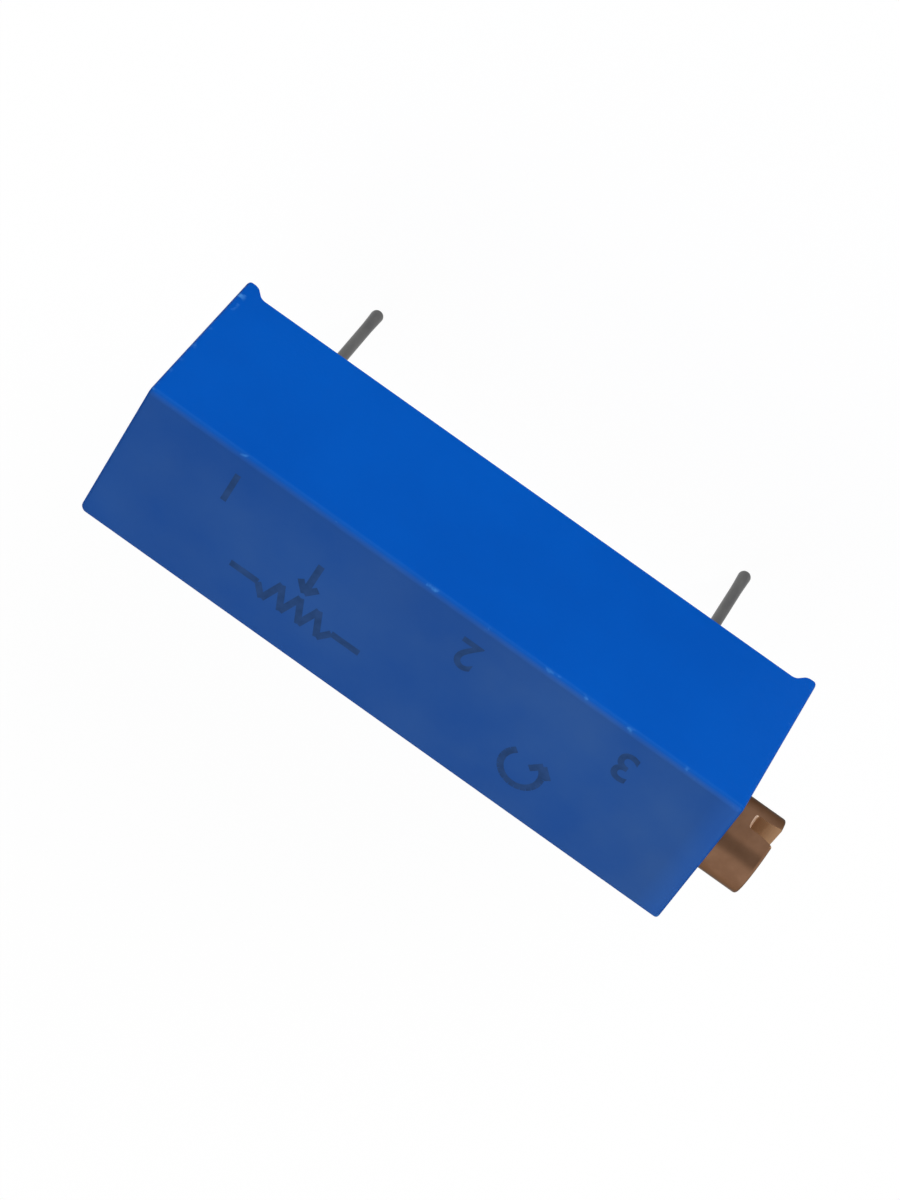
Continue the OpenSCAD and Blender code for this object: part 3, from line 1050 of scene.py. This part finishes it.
def fired_cermet():
    """Resistive cermet, screen printed and fired: charcoal, with the mesh of the screen in it."""
    material, tree, shader = start_finish(
        "fired_cermet_film", "#2B292D", Roughness=0.5, Specular_IOR_Level=0.5)
    blend_colours(tree, shader, grain(tree, 0.08, 3), "#242226", "#38353A")
    add_relief(tree, shader, grain(tree, 0.09, 2), 0.004)
    return material


def fired_silver():
    """Silver and palladium film, screen printed and fired: a warm, satin grey metal."""
    material, tree, shader = start_finish(
        "fired_silver_film", "#B9B5AC", Metallic=1.0, Roughness=0.48)
    blend_colours(tree, shader, grain(tree, 0.12, 3), "#ADA89E", "#C6C2B9")
    add_relief(tree, shader, grain(tree, 0.09, 2), 0.004)
    return material


# %% Finish the clip and the wiper
def stamped_steel():
    """Stainless spring steel strip, stamped: bright, with fine rolling lines along it."""
    material, tree, shader = start_finish(
        "stamped_spring_steel", "#A9AAAC", Metallic=1.0, Roughness=0.3)
    blend_colours(tree, shader, grain(tree, 0.3, 3, (1, 1, 0.08)), "#9FA0A2", "#B5B6B8")
    add_relief(tree, shader, grain(tree, 0.04, 2, (1, 1, 0.05)), 0.0015)
    return material


def rolled_alloy():
    """Precious metal spring alloy: pale gold, with rolling lines along the fingers."""
    material, tree, shader = start_finish(
        "rolled_contact_alloy", "#D3B26C", Metallic=1.0, Roughness=0.28)
    blend_colours(tree, shader, grain(tree, 0.2, 3, (0.08, 1, 1)), "#CBA962", "#DDBD79")
    add_relief(tree, shader, grain(tree, 0.04, 2, (0.05, 1, 1)), 0.0015)
    return material


silver = fired_silver()
kept = {
    "ceramic_substrate": fired_alumina(), "cermet_track": fired_cermet(),
    "collector_track": silver, "end_pad_1": silver, "end_pad_3": silver,
    "shaft_retainer_clip": stamped_steel(), "wiper_contact": rolled_alloy(),
}
for node, material in kept.items():
    mesh = frame["nodes"][node].data
    mesh.materials.clear()
    mesh.materials.append(material)
print("kept pieces with a finish:", len(kept))

# %% [markdown]
# ## The printed marks
#
# Such a part carries faint dark marks on its broad face. These are generic: the symbol of a
# resistor with a moving contact, a round arrow for the way to turn, and the numbers of the
# terminals. The symbols are curves with a round section, made meshes and pressed flat.

# %% Tools for the marks
INK_T = 0.004
INK_Z = case_high.z - SINK + INK_T / 2
STROKE = 0.2
NUMBER_H = 1.4
NUMBER_WEIGHT = 0.02


def as_flat_mesh(curve, place, flatten):
    """Turns a curve or text into a bmesh, pressed to the thickness of ink, in its place."""
    source = bpy.data.objects.new("mark", curve)
    bpy.context.scene.collection.objects.link(source)
    bpy.context.view_layer.update()
    mesh = source.evaluated_get(bpy.context.evaluated_depsgraph_get()).to_mesh()
    bm = bmesh.new()
    bm.from_mesh(mesh)
    bpy.data.objects.remove(source)
    bmesh.ops.scale(bm, vec=(1, 1, flatten), verts=bm.verts)
    bmesh.ops.transform(bm, matrix=place, verts=bm.verts)
    return bm


def stroke_mark(points):
    """A drawn line of an even width through some places on the top face."""
    curve = bpy.data.curves.new("stroke", "CURVE")
    curve.dimensions = "3D"
    curve.bevel_depth = STROKE / 2
    curve.bevel_resolution = 2
    curve.use_fill_caps = True
    for ends in zip(points, points[1:]):
        spline = curve.splines.new("POLY")
        spline.points.add(1)
        for point, (x, y) in zip(spline.points, ends):
            point.co = (x, y, 0, 1)
    return as_flat_mesh(curve, Matrix.Translation((0, 0, INK_Z)), INK_T / STROKE)


def number_mark(text, x, y):
    """A plain number that reads from the side of the case."""
    curve = bpy.data.curves.new("number", "FONT")
    curve.body = text
    curve.size = NUMBER_H
    curve.extrude = INK_T / 2
    curve.offset = NUMBER_WEIGHT
    curve.align_x = "CENTER"
    curve.align_y = "CENTER"
    return as_flat_mesh(curve, Matrix.Translation((x, y, INK_Z)), 1)


def resistor_mark(x, y):
    """The zigzag of a resistor with its two leads, and the arrow of its moving contact."""
    teeth = [(x - 1.2 + 0.3 * k, y + (0.4 if k % 2 else -0.4)) for k in range(1, 8)]
    line = [(x - 2.1, y), (x - 1.2, y), *teeth, (x + 1.2, y), (x + 2.1, y)]
    arrow = [(x - 0.28, y - 0.95), (x, y - 0.6), (x + 0.28, y - 0.95)]
    return [stroke_mark(line), stroke_mark([(x, y - 1.7), (x, y - 0.7)]), stroke_mark(arrow)]


def turning_mark(x, y, radius=0.6):
    """A round arrow, for the way that the screw is turned to raise the value."""
    turns = [math.radians(a) for a in range(-50, 221, 15)]
    arc = [(x + radius * math.cos(a), y + radius * math.sin(a)) for a in turns]
    tip_x, tip_y = arc[-1]
    head = [(tip_x - 0.3, tip_y + 0.2), (tip_x, tip_y - 0.12), (tip_x + 0.3, tip_y + 0.2)]
    return [stroke_mark(arc), stroke_mark(head)]


# %% Print the marks
SYMBOL_ROW = 0.85
PIN_ROW = -1.3
marks = resistor_mark(3.2, SYMBOL_ROW) + turning_mark(-4.2, SYMBOL_ROW)
marks += [number_mark(str(n), c.x, PIN_ROW) for n, c in enumerate(pin_centres, 1)]
ink_mesh = bmesh.new()
for mark in marks:
    part = bpy.data.meshes.new("part")
    mark.to_mesh(part)
    mark.free()
    ink_mesh.from_mesh(part)
tidy(ink_mesh)


def pad_ink():
    """Thin epoxy ink, laid by a pad: dark, worn and patchy, nearly lost on the dark blue."""
    material, tree, shader = start_finish(
        "pad_printed_ink", "#305590", Roughness=0.6, Specular_IOR_Level=0.12)
    blend_colours(tree, shader, grain(tree, 0.3, 5), "#2C4F86", "#345A98")
    return material


ink = finish_piece("printed_marks", ink_mesh)
ink.data.materials.append(pad_ink())
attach(ink, "case")

# %% [markdown]
# ## The studio
#
# A plain white floor lies under the tips of the pins. One broad lamp stands low in front and
# lights the long side; two more stand behind and light the top. Four grey cards, which only
# reflections see, put the bands into the brass: one above the part, one under the screw's head, one
# upright in front and one lying there.

# %% Lay the floor
def seen_rays(tree):
    """1 for the rays that show a surface to the camera, straight or mirrored, and 0 for light."""
    path = add_node(tree, "ShaderNodeLightPath")
    direct = combine_values(
        tree, "MAXIMUM", path.outputs["Is Camera Ray"], path.outputs["Is Glossy Ray"])
    return combine_values(tree, "MAXIMUM", direct, path.outputs["Is Transmission Ray"])


def plain_floor():
    """White card, with its own white for the camera, so that it keeps only a faint shadow."""
    material, tree, shader = start_finish(
        "white_card", "#E8E8E8", Roughness=0.9, Specular_IOR_Level=0.1)
    glow = add_node(tree, "ShaderNodeEmission", {"Color": (1, 1, 1, 1), "Strength": FLOOR_GLOW})
    dim = add_node(tree, "ShaderNodeMixShader", {
        0: FLOOR_SHARE, 1: shader.outputs[0], 2: glow.outputs[0]})
    both = add_node(tree, "ShaderNodeMixShader", {
        0: seen_rays(tree), 1: shader.outputs[0], 2: dim.outputs[0]})
    tree.links.new(both.outputs[0], tree.nodes["Material Output"].inputs["Surface"])
    return material


FLOOR_GLOW = 1.06
FLOOR_SHARE = 0.9
FLOOR_HALF = 2000
floor_bm = bmesh.new()
bmesh.ops.create_grid(floor_bm, x_segments=1, y_segments=1, size=FLOOR_HALF,
                      matrix=Matrix.Translation((0, 0, PIN_TIP)))
floor = finish_piece("floor", floor_bm)
floor.data.materials.append(plain_floor())
floor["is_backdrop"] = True

# %% Colour the world
FILL = 0.22
world = bpy.data.worlds.new("studio")
bpy.context.scene.world = world
world.use_nodes = True
sky = world.node_tree
background = sky.nodes["Background"]
background.inputs["Color"].default_value = (1, 1, 1, 1)
level = remap(sky, seen_rays(sky), 0.0, 1.0, FILL, 1.0)
sky.links.new(level, background.inputs["Strength"])

# %% Hang the lamps
LAMP_DISTANCE = 400
LAMP_SIZE = 260


def hang_lamp(name, azimuth, elevation, watts):
    """A square soft lamp that looks at the middle of the board plane and isn't itself mirrored."""
    data = bpy.data.lights.new(name, "AREA")
    data.shape = "SQUARE"
    data.size = LAMP_SIZE * MM
    data.energy = watts
    lamp = bpy.data.objects.new(name, data)
    towards = Vector((
        math.sin(math.radians(azimuth)) * math.cos(math.radians(elevation)),
        -math.cos(math.radians(azimuth)) * math.cos(math.radians(elevation)),
        math.sin(math.radians(elevation))))
    lamp.location = towards * LAMP_DISTANCE * MM
    lamp.rotation_euler = towards.to_track_quat("Z", "Y").to_euler()
    lamp.visible_glossy = False
    bpy.context.scene.collection.objects.link(lamp)


hang_lamp("front lamp", -15, 18, 1.1)
hang_lamp("back lamp", 175, 52, 0.266)
hang_lamp("rear lamp", 165, 4, 0.5)

# %% Hold up the cards
def hold_card(name, place, half_x, half_y, level):
    """An even grey card that only reflections see, on the X and Y axes of a place."""
    bm = bmesh.new()
    bmesh.ops.create_grid(
        bm, x_segments=1, y_segments=1, size=1,
        matrix=place @ Matrix.Diagonal((half_x, half_y, 1, 1)))
    card = finish_piece(name, bm)
    material, tree, _ = start_finish(name, "#000000")
    glow = add_node(tree, "ShaderNodeEmission", {"Color": (1, 1, 1, 1), "Strength": level})
    tree.links.new(glow.outputs[0], tree.nodes["Material Output"].inputs["Surface"])
    card.data.materials.append(material)
    card.visible_camera = False
    card.visible_shadow = False
    card.visible_diffuse = False
    card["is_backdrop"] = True


CARD_ELEVATION = 70
CARD_DISTANCE = 120
above = Matrix.Rotation(math.radians(90 - CARD_ELEVATION), 4, "X")
hold_card("upper_card", above @ Matrix.Translation((0, 0, CARD_DISTANCE)), 90, 45, 0.45)
# Painted shadow: the card under the head darkens the floor that the brass mirrors there.
under_head = Vector((case_low.x - 2, -0.5, PIN_TIP + 0.3))
hold_card("shadow_card", Matrix.Translation(under_head), 3, 6.5, 0.6)
upright = Matrix.Rotation(math.radians(90), 4, "X")
hold_card("front_card", Matrix.Translation((0, -60, 25 + PIN_TIP)) @ upright, 70, 25, 0.78)
hold_card("front_sheet", Matrix.Translation((0, -33.5, PIN_TIP + 0.2)), 70, 26.5, 0.78)

# %% [markdown]
# ## Sizes
#
# The boxes of the imported part and of the dressed part are both printed. The dressed part
# has to stay in the box of the imported one.

# %% Print the two boxes
bpy.context.scene.view_settings.view_transform = "Standard"
bpy.context.view_layer.update()
visual_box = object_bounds()
for name, (low, high) in (("CAD", cad_box), ("visual", visual_box)):
    print(name, [round(v / MM, 3) for v in low], [round(v / MM, 3) for v in high])
